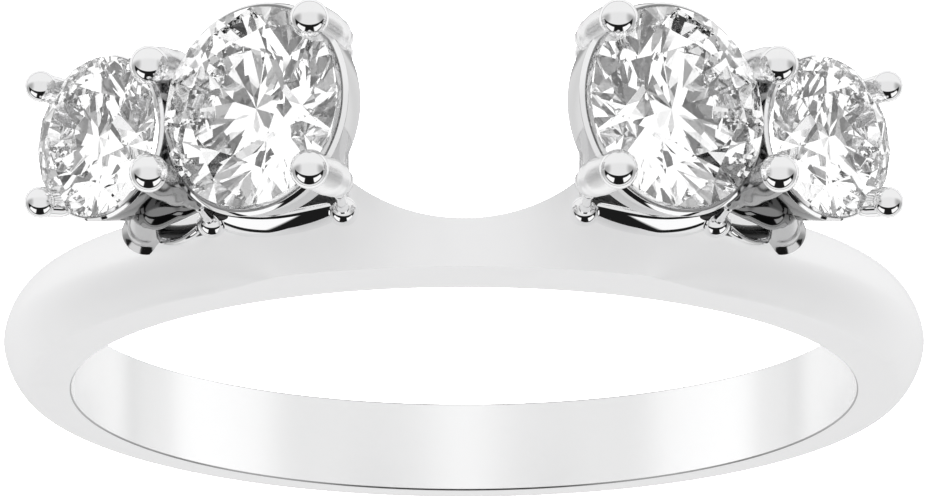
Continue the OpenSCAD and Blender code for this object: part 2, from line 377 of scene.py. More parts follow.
def join_meshes(meshes):
    """One mesh of several, which keeps the material of each face."""
    joined = bmesh.new()
    materials = []
    for mesh in meshes:
        for material in mesh.materials:
            if material not in materials:
                materials.append(material)
        places = [materials.index(material) for material in mesh.materials]
        for face in mesh.polygons:
            face.material_index = places[face.material_index]
        joined.from_mesh(mesh)
    whole = bpy.data.meshes.new("whole")
    joined.to_mesh(whole)
    joined.free()
    for material in materials:
        whole.materials.append(material)
    return whole


def turn_mesh(mesh, matrix):
    mesh.transform(matrix)
    if matrix.determinant() < 0:
        mesh.flip_normals()
    return mesh


def lay_piece(name, mesh):
    """Object of an upright mesh in millimetres, laid down as the ring rests."""
    mesh.transform(LAY)
    mesh.name = name
    mesh.shade_smooth()
    mesh.set_sharp_from_angle(angle=CREASE)
    piece = bpy.data.objects.new(name, mesh)
    bpy.context.scene.collection.objects.link(piece)
    return piece


# Materials. Marks and clouds have so many waves to a metre, streaks are finer and
# drawn out, and the waves in the polish are this many metres high.
MARKS_TO_A_METRE = 900.0
STREAK_FINENESS = 4.0
STREAK_STRETCH = 9.0
MARK_SHADE = 0.4
BLUE_TINGE = 1.004
WAVE_HEIGHT = 0.00002
CLOUDS_TO_A_METRE = 700.0
DIAMOND_BENDING = 2.42
FLOOR_TONE = 0.9


def polish_group():
    """Fine wipe marks and tiny waves that polished metal keeps."""
    tree = bpy.data.node_groups.new("polish marks", "ShaderNodeTree")
    for name in ("Size", "Dullness", "Marks", "Tone"):
        tree.interface.new_socket(name, in_out="INPUT", socket_type="NodeSocketFloat")
    tree.interface.new_socket("Roughness", in_out="OUTPUT", socket_type="NodeSocketFloat")
    tree.interface.new_socket("Color", in_out="OUTPUT", socket_type="NodeSocketColor")
    tree.interface.new_socket("Height", in_out="OUTPUT", socket_type="NodeSocketFloat")
    source = tree.nodes.new("NodeGroupInput")
    size, dullness, marks, tone = [Term(tree, s) for s in source.outputs[:4]]
    place = put_node(tree, "ShaderNodeTexCoord").outputs["Object"]
    cloud = put_node(tree, "ShaderNodeTexNoise",
                     {"Vector": place, "Scale": size, "Detail": 3.0})
    streak_place = put_node(tree, "ShaderNodeMapping",
                            {"Vector": place, "Scale": (1.0, 1.0, STREAK_STRETCH)})
    streaks = put_node(tree, "ShaderNodeTexNoise",
                       {"Vector": streak_place.outputs[0], "Scale": size * STREAK_FINENESS,
                        "Detail": 4.0})
    uneven = Term(tree, cloud.outputs[0])
    wiped = Term(tree, streaks.outputs[0])
    rough = dullness + marks * ramp(wiped, 0.45, 0.8) + marks * ramp(uneven, 0.5, 0.8)
    shade = tone - marks * ramp(uneven, 0.55, 0.75) * MARK_SHADE
    color = put_node(tree, "ShaderNodeCombineColor",
                     {0: shade, 1: shade, 2: shade * BLUE_TINGE})
    sink = tree.nodes.new("NodeGroupOutput")
    connect(tree, rough, sink.inputs["Roughness"])
    connect(tree, color.outputs[0], sink.inputs["Color"])
    connect(tree, uneven, sink.inputs["Height"])
    return tree


POLISH = polish_group()


def new_material(name):
    material = bpy.data.materials.new(name)
    material.use_nodes = True
    tree = material.node_tree
    return material, tree, tree.nodes["Principled BSDF"]


def polished_metal(name, dullness, tone, waves, marks=0.02, metallic=1.0):
    """White gold, from mirror-polished to satin; a darker tone paints shade into it."""
    material, tree, shader = new_material(name)
    shader.inputs["Metallic"].default_value = metallic
    polish = put_node(tree, "ShaderNodeGroup",
                      {"Size": MARKS_TO_A_METRE, "Dullness": dullness, "Marks": marks,
                       "Tone": tone}, node_tree=POLISH)
    connect(tree, polish.outputs["Color"], shader.inputs["Base Color"])
    connect(tree, polish.outputs["Roughness"], shader.inputs["Roughness"])
    bump = put_node(tree, "ShaderNodeBump",
                    {"Strength": waves, "Distance": WAVE_HEIGHT,
                     "Height": polish.outputs["Height"]})
    connect(tree, bump.outputs[0], shader.inputs["Normal"])
    return material


def cut_diamond(name):
    """Colourless brilliant with the faintest unevenness of tone."""
    material, tree, shader = new_material(name)
    place = put_node(tree, "ShaderNodeTexCoord").outputs["Object"]
    cloud = put_node(tree, "ShaderNodeTexNoise",
                     {"Vector": place, "Scale": CLOUDS_TO_A_METRE})
    tone = ramp(Term(tree, cloud.outputs[0]), 0.3, 0.7, 0.985, 1.0)
    color = put_node(tree, "ShaderNodeCombineColor", {0: tone, 1: tone, 2: tone})
    connect(tree, color.outputs[0], shader.inputs["Base Color"])
    shader.inputs["Metallic"].default_value = 0.0
    shader.inputs["Roughness"].default_value = 0.0
    shader.inputs["IOR"].default_value = DIAMOND_BENDING
    shader.inputs["Transmission Weight"].default_value = 1.0
    return material


# Tones under 0.9 below are painted shade: the same white gold, darkened where shade falls.
PAINTED_SHADE_METAL = polished_metal("painted shade gold", dullness=0.25, tone=0.05, waves=0.03, marks=0.03)
EDGE_SHADE_METAL = polished_metal("edge shade gold", dullness=0.3, tone=0.42, waves=0.02, marks=0.03)
SOFT_METAL = polished_metal("prong gold", dullness=0.24, tone=0.93, waves=0.02)
WALL_SHADE_METAL = polished_metal("wall shade gold", dullness=0.06, tone=0.66, waves=0.03)
WEB_SHADE_METAL = polished_metal("web shade gold", dullness=0.09, tone=0.24, waves=0.03)
ARM_SHADE_METAL = polished_metal("arm shade gold", dullness=0.16, tone=0.36, waves=0.03)
POST_SHADE_METAL = polished_metal("post shade gold", dullness=0.12, tone=0.6, waves=0.03)
BAND_METAL = polished_metal("band gold", dullness=0.5, tone=0.92, waves=0.02, metallic=0.3)
INSIDE_METAL = polished_metal("inside gold", dullness=0.24, tone=0.98, waves=0.02, metallic=0.6)
HEAD_METAL = polished_metal("setting gold", dullness=0.03, tone=0.93, waves=0.03)
DIAMOND = cut_diamond("diamond")

# The band. Along half of its section, from 0 to 1, come the dome, the side wall,
# the eased edge and the inside.
DOME_END = 0.8
WALL_END = 0.86
EASE_END = 0.88


def band_tree():
    """Band by its angle from the top and its section, cut by the round saddle."""
    tree, size = new_shape_tree("band", (
        "Finger Radius", "Ease", "Crown Radius", "Crown Height", "Shoulder Radius",
        "Half Width", "Dome Power", "Flank Angle", "Flank Radius", "Saddle Radius",
        "Saddle Middle"))
    grid = put_node(tree, "GeometryNodeMeshGrid",
                    {"Size X": 2 * math.pi, "Size Y": 2.0, "Vertices X": BAND_POINTS,
                     "Vertices Y": SECTION_POINTS})
    place = put_node(tree, "GeometryNodeInputPosition").outputs[0]
    angle, across, _ = split_vector(tree, place)
    side = across.work("SIGN")
    turn = across.work("ABSOLUTE")
    far = angle.work("ABSOLUTE")
    sin_a = angle.work("SINE")
    cos_a = angle.work("COSINE")
    lift = size["Crown Height"] * cos_a
    slip = (size["Crown Height"] * sin_a) ** 2.0

    def round_r(radius):
        return (radius * radius - slip).work("SQRT") + lift

    crown = round_r(size["Crown Radius"])
    shoulder = round_r(size["Shoulder Radius"])
    before = far.work("LESS_THAN", size["Flank Angle"])
    flank = size["Flank Radius"] / (size["Flank Angle"] - far).work("COSINE") * before
    edge = crown.work("MINIMUM", flank).work("MAXIMUM", shoulder)

    # The dome spans the width between the edges, then come wall, ease and inside
    quarter = (turn / DOME_END).work("MINIMUM", 1.0) * (math.pi / 2)
    root = 2.0 / size["Dome Power"]
    dome_y = size["Half Width"] * quarter.work("SINE").work("MAXIMUM", 0.0) ** root
    dome_r = edge + (crown - edge) * quarter.work("COSINE").work("MAXIMUM", 0.0) ** root

    def stretch(start, end):
        """0 before start and 1 after end, by the place on the section."""
        return ((turn - start) / (end - start)).work("ADD", 0.0, clamp=True)

    wall = stretch(DOME_END, WALL_END)
    ease = stretch(WALL_END, EASE_END)
    inside = stretch(EASE_END, 1.0)
    inner_y = size["Half Width"] - size["Ease"]
    y = blend(ease, dome_y, inner_y) * (1.0 - inside)
    r = blend(wall, dome_r, size["Finger Radius"] + size["Ease"])
    r = blend(ease, r, size["Finger Radius"])
    shaped = put_node(tree, "GeometryNodeSetPosition",
                      {"Geometry": grid.outputs["Mesh"],
                       "Position": join_vector(tree, r * sin_a, y * side, r * cos_a)})
    closed = put_node(tree, "GeometryNodeMergeByDistance",
                      {"Geometry": shaped.outputs[0], "Distance": WELD})
    drill = put_node(tree, "GeometryNodeMeshCylinder",
                     {"Vertices": SADDLE_SIDES, "Radius": size["Saddle Radius"],
                      "Depth": SADDLE_CUT_H})
    drill_middle = join_vector(tree, 0.0, size["Saddle Middle"], SADDLE_CUT_Z)
    drill_place = put_node(tree, "GeometryNodeTransform",
                           {"Geometry": drill.outputs["Mesh"], "Translation": drill_middle})
    cut = put_node(tree, "GeometryNodeMeshBoolean", operation="DIFFERENCE", solver="EXACT")
    connect(tree, closed.outputs[0], cut.inputs[0])
    connect(tree, drill_place.outputs[0], cut.inputs[1])
    return end_shape_tree(tree, cut.outputs[0], size["Material"])


def polish_and_shade_inside(mesh):
    """Gives the faces of the finger hole their smoother finish, and its eased
    edge a darker line of painted shade."""
    mesh.materials.append(INSIDE_METAL)
    mesh.materials.append(EDGE_SHADE_METAL)
    for face in mesh.polygons:
        reach = math.hypot(face.center.x, face.center.z)
        outward = Vector((face.center.x, 0, face.center.z)).dot(face.normal) / reach
        if outward < -FACING and reach < FINGER_R + INNER_EASE / 2:
            face.material_index = 1
        # Painted shade: a darker line along the eased edge
        elif outward < -SLANTING and reach < FINGER_R + INNER_EASE:
            face.material_index = 2


def make_band():
    mesh = shape_mesh(band_tree(), BAND_METAL, {
        "Finger Radius": FINGER_R, "Ease": INNER_EASE, "Crown Radius": CROWN_R,
        "Crown Height": CROWN_Z, "Shoulder Radius": SHOULDER_R, "Half Width": HALF_W,
        "Dome Power": DOME_POWER, "Flank Angle": FLANK_ANGLE,
        "Flank Radius": FINGER_R + FLANK_T, "Saddle Radius": SADDLE_R,
        "Saddle Middle": SADDLE_Y})
    shaped = bmesh.new()
    shaped.from_mesh(mesh)
    bmesh.ops.recalc_face_normals(shaped, faces=shaped.faces)
    shaped.to_mesh(mesh)
    shaped.free()
    polish_and_shade_inside(mesh)
    return lay_piece("shank", mesh)


# Places on the settings with negative X. Side is -1 for their front and 1 for
# their back.
def out_dir(lean):
    return Vector((-math.sin(lean), 0, math.cos(lean)))


def in_dir(lean):
    return Vector((math.cos(lean), 0, math.sin(lean)))


def wall_foot_r(r, over, depth):
    """Radius of a seat's tapered wall at a depth below the girdle."""
    return r + over - (depth - RIM_DROP) * TAPER


def on_head(mid, lean, across, back, up):
    return mid + across * in_dir(lean) + Vector((0, back, 0)) + up * out_dir(lean)


def beside(mid, lean, r, angle, up):
    return on_head(mid, lean, r * math.cos(angle), r * math.sin(angle), up)


def step(side, across, outward, up):
    """Small step from a point of the front or the back."""
    return Vector((across, side * outward, up))


LARGE_X = (CENTER_GAP / 2
           + wall_foot_r(LARGE_R, LARGE_RIM_OVER, LARGE_SEAT_H) * math.cos(LARGE_LEAN)
           + LARGE_SEAT_H * math.sin(LARGE_LEAN))
LARGE_MID = Vector((-LARGE_X, HEAD_BACK,
                    CROWN_Z + math.sqrt(CROWN_R ** 2 - LARGE_X ** 2) + LARGE_LIFT))
SMALL_MID = LARGE_MID - (LARGE_R + SMALL_R + STONE_GAP) * in_dir(ROW_FALL)
GAP_FOOT_X = CENTER_GAP / 2 + GAP_FOOT_OUT
SHARED_FOOT_X = LARGE_X + SHARED_FOOT_OUT
POST_FOOT_X = -SMALL_MID.x - POST_FOOT_IN


def foot_at(x, side):
    """Middle of a rounded foot on the crown of the band."""
    lift = FOOT_RISE + (REAR_LIFT if side > 0 else 0)
    turn = math.asin(x / CROWN_R)
    return Vector((-(CROWN_R + lift) * math.sin(turn), HEAD_BACK + side * FOOT_SPREAD,
                   CROWN_Z + (CROWN_R + lift) * math.cos(turn)))


def feet_of(side):
    """Feet of the gap prong, the shared prong and the post."""
    return (foot_at(GAP_FOOT_X, side) + step(side, *GAP_FOOT_STEP),
            foot_at(SHARED_FOOT_X, side) + step(side, *SHARED_FOOT_STEP),
            foot_at(POST_FOOT_X, side) + step(side, *POST_FOOT_STEP))


# Turned seat rings
def turned_tree():
    """Carries a drawn section round a circle. The section's X is the distance
    beyond the circle and its Y the depth below it."""
    tree, size = new_shape_tree("turned ring", ("Radius",))
    ring = put_node(tree, "GeometryNodeCurvePrimitiveCircle",
                    {"Resolution": SEAT_SIDES, "Radius": size["Radius"]})
    section = put_node(tree, "GeometryNodeMeshToCurve", {"Mesh": size["Mesh"].socket})
    turned = put_node(tree, "GeometryNodeCurveToMesh",
                      {"Curve": ring.outputs[0], "Profile Curve": section.outputs[0]})
    return end_shape_tree(tree, turned.outputs[0], size["Material"])


TURNED_RING = turned_tree()


def outline_mesh(points):
    """Closed outline of straight edges."""
    mesh = bpy.data.meshes.new("outline")
    count = len(points)
    edges = [(i, (i + 1) % count) for i in range(count)]
    mesh.from_pydata([(x, y, 0) for x, y in points], edges, [])
    return mesh


def round_corners(points, radius):
    """Replaces each corner of a closed outline by a few points of an arc."""
    out = []
    count = len(points)
    for i, corner in enumerate(points):
        corner = Vector(corner)
        before = Vector(points[i - 1]) - corner
        after = Vector(points[(i + 1) % count]) - corner
        reach = min(radius, before.length * ROUND_SHARE, after.length * ROUND_SHARE)
        a = corner + before.normalized() * reach
        b = corner + after.normalized() * reach
        for k in range(CORNER_STEPS + 1):
            t = k / CORNER_STEPS
            out.append(tuple((1 - t) ** 2 * a + 2 * t * (1 - t) * corner + t ** 2 * b))
    return out


def seat_mesh(mid, lean, r, over, depth, wall_shade_metal):
    """Bevelled rim, wall and ledge round one stone. The outside of the wall and
    the flat of the rim get darker metals, which paint shade on them."""
    section = [(over, RIM_DROP), (over - RIM_BEVEL, RIM_DROP - RIM_BEVEL),
               (RIM_CLEAR, RIM_DROP - RIM_BEVEL), (LEDGE_CLEAR, LEDGE_DROP),
               (-LEDGE_W, LEDGE_DROP + LEDGE_W * LEDGE_SLOPE), (-LEDGE_W, depth),
               (wall_foot_r(r, over, depth) - r, depth)]
    mesh = shape_mesh(TURNED_RING, HEAD_METAL, {"Radius": r},
                      outline_mesh(round_corners(section, EDGE_ROUND)))
    mesh.materials.append(wall_shade_metal)
    mesh.materials.append(ARM_SHADE_METAL)
    # Painted shade: darker metal on the outside of the wall and on the flat of the rim
    for face in mesh.polygons:
        down = -face.center.z
        beyond = math.hypot(face.center.x, face.center.y) - wall_foot_r(r, over, down)
        if abs(beyond) < WALL_NEAR and down > RIM_DROP + WALL_START:
            face.material_index = 1
        elif down < RIM_DROP and abs(face.normal.z) > FACING:
            face.material_index = 2
    return turn_mesh(mesh, Matrix.Translation(mid) @ Matrix.Rotation(-lean, 4, "Y"))


# Rods with round ends: prongs, posts, bars and feet
def rods_tree():
    """Sweeps a circle along each line, as wide as its points say, and puts a
    ball on each point that names one."""
    tree, size = new_shape_tree("rods", ("Roundness",))
    lines = put_node(tree, "GeometryNodeMeshToCurve", {"Mesh": size["Mesh"].socket})
    width = put_node(tree, "GeometryNodeInputNamedAttribute", {"Name": "width"},
                     data_type="FLOAT")
    circle = put_node(tree, "GeometryNodeCurvePrimitiveCircle",
                      {"Resolution": ROD_SIDES, "Radius": size["Roundness"]})
    swept = put_node(tree, "GeometryNodeCurveToMesh",
                     {"Curve": lines.outputs[0], "Profile Curve": circle.outputs[0],
                      "Scale": width.outputs[0], "Fill Caps": True})
    ball_size = put_node(tree, "GeometryNodeInputNamedAttribute", {"Name": "ball"},
                         data_type="FLOAT")
    ball_r = Term(tree, ball_size.outputs[0])
    ball = put_node(tree, "GeometryNodeMeshUVSphere",
                    {"Segments": BALL_SEGMENTS, "Rings": BALL_RINGS,
                     "Radius": size["Roundness"]})
    balls = put_node(tree, "GeometryNodeInstanceOnPoints",
                     {"Points": size["Mesh"].socket, "Instance": ball.outputs["Mesh"],
                      "Selection": ball_r.work("GREATER_THAN", 0.01),
                      "Scale": join_vector(tree, ball_r, ball_r, ball_r)})
    both = tree.nodes.new("GeometryNodeJoinGeometry")
    tree.links.new(swept.outputs[0], both.inputs[0])
    tree.links.new(balls.outputs[0], both.inputs[0])
    return end_shape_tree(tree, both.outputs[0], size["Material"])


RODS = rods_tree()


def line_mesh(lines):
    """Points of several lines, joined along each line by edges."""
    points, edges = [], []
    for line in lines:
        edges += [(len(points) + i, len(points) + i + 1) for i in range(len(line) - 1)]
        points += line
    mesh = bpy.data.meshes.new("lines")
    mesh.from_pydata(points, edges, [])
    return mesh


def rods_mesh(rods, material):
    """Mesh of rods, each a list of (point, width, ball) along its line."""
    base = line_mesh([[point for point, _, _ in rod] for rod in rods])
    widths = [width for rod in rods for _, width, _ in rod]
    balls = [ball for rod in rods for _, _, ball in rod]
    for name, values in (("width", widths), ("ball", balls)):
        attribute = base.attributes.new(name, "FLOAT", "POINT")
        attribute.data.foreach_set("value", values)
    return shape_mesh(RODS, material, {"Roundness": 1.0}, base)


def bowed(a, b, bow, steps=BOW_STEPS):
    """Points of a line that bows out between a and b."""
    shares = [k / steps for k in range(steps + 1)]
    return [a.lerp(b, t) + bow * 4 * t * (1 - t) for t in shares]


def bowed_rod(a, b, bow, radius):
    return [(point, radius, 0.0) for point in bowed(a, b, bow)]


def carved_rod(start, end, shape, ball_r=0.0):
    """A rod whose radius goes smoothly through the (share, radius) pairs of its
    shape, with a ball at its start."""
    out = []
    for k in range(ROD_STEPS + 1):
        t = k / ROD_STEPS
        for (t0, r0), (t1, r1) in zip(shape, shape[1:]):
            if t <= t1:
                break
        s = (t - t0) / (t1 - t0)
        radius = r0 + (r1 - r0) * s * s * (3 - 2 * s)
        out.append((start.lerp(end, t), radius, ball_r if k == 0 else 0.0))
    return out


def ball_on(place, inward, ball_r):
    """A ball, held on a stub of a rod that ends at a point inside it."""
    return [(place, STUB_R, ball_r), (inward, STUB_R, 0.0)]


# The parts of the settings with negative X
def gap_prong(side, foot):
    """A full body with a round end, and a thin neck from it down to the foot."""
    angle = side * GAP_ANGLE
    tip = beside(LARGE_MID, LARGE_LEAN, LARGE_R + GAP_BEYOND, angle, GAP_UP)
    tail = beside(LARGE_MID, LARGE_LEAN, LARGE_R + GAP_TAIL_BEYOND, angle, -GAP_DOWN)
    tail += TAIL_SINK
    body = carved_rod(tip + TIP_SINK, tail, GAP_PRONG_SHAPE)
    inside = tip.lerp(tail, NECK_START)
    neck = foot.lerp(inside, 0.5)
    fine = [ball_on(tip + TIP_SINK, tip.lerp(tail, STUB_SHARE), TIP_R),
            carved_rod(inside, neck, UPPER_NECK_SHAPE),
            carved_rod(neck, foot, LOWER_NECK_SHAPE, NECK_BALL_R),
            ball_on(foot, foot.lerp(neck, STUB_SHARE), FOOT_BALL_R)]
    return body, fine


def shared_prong(side, foot):
    """A body that narrows to a knot, and the bell from it to the foot."""
    spread = side * SHARED_SPREAD
    tip = on_head(LARGE_MID, ROW_FALL, -LARGE_R, spread, SHARED_UP)
    tail = on_head(LARGE_MID, ROW_FALL, -LARGE_R, spread, -SHARED_DOWN)
    knot = Vector((tail.x, foot.y, tail.z)) + step(side, *KNOT_STEP)
    body = carved_rod(tip + TIP_SINK, knot, SHARED_PRONG_SHAPE)
    fine = [ball_on(tip + TIP_SINK, tip.lerp(tail, STUB_SHARE), TIP_R),
            carved_rod(knot, foot, BELL_SHAPE, KNOT_BALL_R),
            ball_on(foot, foot.lerp(knot, STUB_SHARE), FOOT_BALL_R)]
    return body, fine, knot


def outer_prong(side):
    """A blade that narrows along the small setting."""
    angle = side * OUTER_ANGLE
    reach = SMALL_R - OUTER_IN
    tip = beside(SMALL_MID, SMALL_LEAN, reach, angle, OUTER_UP)
    tail = beside(SMALL_MID, SMALL_LEAN, reach - OUTER_TAIL_IN, angle, -OUTER_DOWN)
    return carved_rod(tip + TIP_SINK, tail, OUTER_PRONG_SHAPE, SMALL_TIP_R)


def post(side, foot):
    """Post under the small setting, with a flared foot."""
    flare = FRONT_FLARE_R if side < 0 else REAR_FLARE_R
    return carved_rod(foot + step(side, *POST_TOP_STEP), foot, POST_SHAPE + ((1, flare),))


def webs(side, foot, knot):
    """Web and tie from the post to the shared prong's knot."""
    post_line = Vector((foot.x, knot.y, foot.z))
    return [carved_rod(post_line + step(side, *WEB_STEP), knot, WEB_SHAPE, WEB_BALL_R),
            carved_rod(post_line + step(side, *TIE_STEP), knot, TIE_SHAPE)]


def rods_by_metal(feet):
    """All rods of the settings with negative X, as a list for each metal. The
    darker metals paint shade.
    """
    rods = {HEAD_METAL: [], SOFT_METAL: [], POST_SHADE_METAL: [], WEB_SHADE_METAL: [], ARM_SHADE_METAL: []}
    for side in (-1, 1):
        gap_foot, shared_foot, post_foot = feet[side]
        body, fine = gap_prong(side, gap_foot)
        rods[SOFT_METAL].append(body)
        rods[HEAD_METAL] += fine
        body, fine, knot = shared_prong(side, shared_foot)
        # Painted shade: the front shared prong's body is darker metal than the back one's
        rods[ARM_SHADE_METAL if side < 0 else SOFT_METAL].append(body)
        rods[HEAD_METAL] += fine
        rods[HEAD_METAL].append(outer_prong(side))
        # Painted shade: the post is darker metal
        rods[POST_SHADE_METAL].append(post(side, post_foot))
        # Painted shade: the webs are darker metal
        rods[WEB_SHADE_METAL] += webs(side, post_foot, knot)
    for front, rear in zip(feet[-1], feet[1]):
        rods[HEAD_METAL].append([(front, CROSS_BAR_R, 0.0), (rear, CROSS_BAR_R, 0.0)])
    return rods


def rail_tree():
    """Sweeps a flattened round along a line, turned so that its broad face
    looks out and to the front."""
    tree, size = new_shape_tree("rail", ("Breadth", "Thickness", "Turn"))
    line = put_node(tree, "GeometryNodeMeshToCurve", {"Mesh": size["Mesh"].socket})
    smooth = put_node(tree, "GeometryNodeSetCurveNormal", {"Curve": line.outputs[0]},
                      mode="Z_UP")
    circle = put_node(tree, "GeometryNodeCurvePrimitiveCircle",
                      {"Resolution": ROD_SIDES, "Radius": 1.0})
    section = put_node(tree, "GeometryNodeTransform",
                       {"Geometry": circle.outputs[0],
                        "Scale": join_vector(tree, size["Thickness"], size["Breadth"], 1.0)})
    turned = put_node(tree, "GeometryNodeTransform",
                      {"Geometry": section.outputs[0],
                       "Rotation": join_vector(tree, 0.0, 0.0, size["Turn"])})
    along = Term(tree, put_node(tree, "GeometryNodeSplineParameter").outputs["Factor"])
    far = (along * 2.0 - 1.0).work("ABSOLUTE")
    swept = put_node(tree, "GeometryNodeCurveToMesh",
                     {"Curve": smooth.outputs[0], "Profile Curve": turned.outputs[0],
                      "Scale": 1.0 - far ** 4.0 * RAIL_NARROWING, "Fill Caps": True})
    return end_shape_tree(tree, swept.outputs[0], size["Material"])


RAIL = rail_tree()


def rail_mesh(a, b, bow, turn):
    return shape_mesh(RAIL, HEAD_METAL, {
        "Breadth": RAIL_BREADTH, "Thickness": RAIL_THICKNESS, "Turn": turn},
        line_mesh([bowed(a, b, bow, RAIL_STEPS)]))


def shade_cores_mesh(rods):
    """Dark rods of painted shade that fill the gallery behind the rails. What of
    them shows from the inside of the ring is bright metal, without painted shade."""
    mesh = rods_mesh(rods, PAINTED_SHADE_METAL)
    mesh.materials.append(HEAD_METAL)
    # Faces that look into the ring keep bright metal; the rest is painted shade
    for face in mesh.polygons:
        if face.normal.z < -TURNED:
            face.material_index = 1
    return mesh


def rail_meshes(side, gap_foot, shared_foot, post_foot):
    """Broad rail between the prongs' feet, the thin rod from the post, and the
    cores of painted shade behind both."""
    bow = step(side, 0, RAIL_BOW, 0)
    small_bow = bow * SHORT_BOW
    lift = step(side, *RAIL_STEP)
    rod_start = post_foot + step(side, *LOW_ROD_START)
    rod_end = shared_foot + step(side, *LOW_ROD_END)
    deep = step(side, *LONG_CORE_STEP)
    near = step(side, *SHORT_CORE_STEP)
    return [
        rail_mesh(shared_foot + lift, gap_foot + lift, bow, side * RAIL_TURN),
        rods_mesh([bowed_rod(rod_start, rod_end, small_bow, LOW_ROD_R)], HEAD_METAL),
        # The cores are dark rods of painted shade
        shade_cores_mesh([
            bowed_rod(shared_foot + deep, gap_foot + deep, bow * LONG_CORE_BOW,
                      LONG_CORE_R),
            bowed_rod(post_foot + near, shared_foot + near, small_bow, SHORT_CORE_R)])]


def head_mesh():
    """Prongs, posts, feet and rails of the settings with negative X as one mesh."""
    feet = {side: feet_of(side) for side in (-1, 1)}
    meshes = [rods_mesh(rods, metal) for metal, rods in rods_by_metal(feet).items()]
    for side in (-1, 1):
        meshes += rail_meshes(side, *feet[side])
    return join_meshes(meshes)


# Round brilliants
def brilliant_planes(d):
    """A point and the direction of each facet of a round brilliant."""
    r = d / 2
    half_girdle = d * GIRDLE_T / 2
    table_r = TABLE_W / 2 * d
    eighth = math.pi / 4
    near = math.cos(eighth / 2)
    table_z = half_girdle + (r - table_r) * CROWN_SLOPE
    star_r = (r + table_r) / 2
    star_z = half_girdle + (r - star_r * near) * CROWN_SLOPE
    lower_r = r * LOWER_POINT
    lower_z = -half_girdle - (r - lower_r * near) * PAVILION_SLOPE

    def at(angle, radius, z):
        return Vector((radius * math.cos(angle), radius * math.sin(angle), z))

    planes = [(Vector((0, 0, table_z)), Vector((0, 0, 1)))]
    for i in range(8):
        main = eighth * i
        half = main + eighth / 2
        table_a = at(main, table_r, table_z)
        table_b = at(main + eighth, table_r, table_z)
        star = at(half, star_r, star_z)
        lower = at(half, lower_r, lower_z)
        planes.append((at(main, r, half_girdle), at(main, CROWN_SLOPE, 1)))
        planes.append((star, (table_b - table_a).cross(star - table_a)))
        planes.append((at(main, r, -half_girdle), at(main, PAVILION_SLOPE, -1)))
        for end in (main, main + eighth):
            for inner, z in ((star, half_girdle), (lower, -half_girdle)):
                planes.append((inner, (at(end, r, z) - inner).cross(at(half, r, z) - inner)))
    return planes


def brilliant_mesh(d):
    """A round stone cut by its table and facets. Its table points to Z."""
    stone = bmesh.new()
    bmesh.ops.create_cone(stone, cap_ends=True, segments=STONE_SIDES, radius1=d / 2,
                          radius2=d / 2, depth=2 * d)
    for spot, normal in brilliant_planes(d):
        normal = normal.normalized()
        if normal.dot(spot) < 0:
            normal = -normal
        cut = bmesh.ops.bisect_plane(stone, geom=stone.verts[:] + stone.edges[:] + stone.faces[:],
                                     plane_co=spot, plane_no=normal, dist=1e-6,
                                     clear_outer=True)
        edges = [g for g in cut["geom_cut"] if isinstance(g, bmesh.types.BMEdge)]
        if len(edges) > 2:
            bmesh.ops.contextual_create(stone, geom=edges)
    bmesh.ops.remove_doubles(stone, verts=stone.verts, dist=1e-5)
    bmesh.ops.recalc_face_normals(stone, faces=stone.faces)
    mesh = bpy.data.meshes.new("brilliant")
    stone.to_mesh(mesh)
    stone.free()
    mesh.materials.append(DIAMOND)
    return mesh


def make_stone(name, mid, lean, r, matrix):
    mesh = brilliant_mesh(2 * r)
    mesh.transform(Matrix.Translation(mid) @ Matrix.Rotation(-lean, 4, "Y"))
    piece = lay_piece(name, turn_mesh(mesh, matrix))
    for face in piece.data.polygons:
        face.use_smooth = False
    return piece


# Camera, floor and lamps
def make_camera():
    data = bpy.data.cameras.new("camera")
    data.sensor_width = SENSOR
    data.lens = CAMERA_SCALE * CAMERA_FAR * 1000 * SENSOR / PHOTO_W
    data.clip_start = 0.01
    data.clip_end = 10.0
    camera = bpy.data.objects.new("camera", data)
    bpy.context.scene.collection.objects.link(camera)
    low, level = math.sin(CAMERA_ANGLE), math.cos(CAMERA_ANGLE)
    back = lay_direction(0, -low, level)
    up = lay_direction(0, level, low)
    turn = Matrix((up.cross(back), up, back)).transposed().to_4x4()
    camera.matrix_world = Matrix.Translation(up * CAMERA_AIM + back * CAMERA_FAR) @ turn
    bpy.context.scene.camera = camera


def make_floor(height):
    """Pale floor that only the camera sees, so that it adds no light of its own."""
    mesh = bpy.data.meshes.new("floor")
    corners = [(-1, -1), (1, -1), (1, 1), (-1, 1)]
    mesh.from_pydata([(x * FLOOR_REACH, y * FLOOR_REACH, height) for x, y in corners], [],
                     [(0, 1, 2, 3)])
    material, _, shader = new_material("pale floor")
    shader.inputs["Base Color"].default_value = (FLOOR_TONE, FLOOR_TONE, FLOOR_TONE, 1.0)
    shader.inputs["Roughness"].default_value = 0.9
    shader.inputs["Specular IOR Level"].default_value = 0.0
    mesh.materials.append(material)
    floor = bpy.data.objects.new("floor", mesh)
    bpy.context.scene.collection.objects.link(floor)
    floor.visible_glossy = False
    floor.visible_diffuse = False
    floor.visible_transmission = False
    return floor


def make_lamp(name, place, size, watts, only, mirrored):
    """Round soft box that points at the ring, lights one object only and throws
    no shadow. Metal shows it where it is mirrored."""
    data = bpy.data.lights.new(name, "AREA")
    data.shape = "DISK"
    data.size = size
    data.energy = watts
    data.use_shadow = False
    lamp = bpy.data.objects.new(name, data)
    lamp.location = place
    lamp.rotation_euler = (-Vector(place)).to_track_quat("-Z", "Y").to_euler()
    lamp.visible_glossy = mirrored
    lamp.visible_transmission = False
    bpy.context.scene.collection.objects.link(lamp)
    lit = bpy.data.collections.new(f"lit by {name}")
    lit.objects.link(only)
    lamp.light_linking.receiver_collection = lit


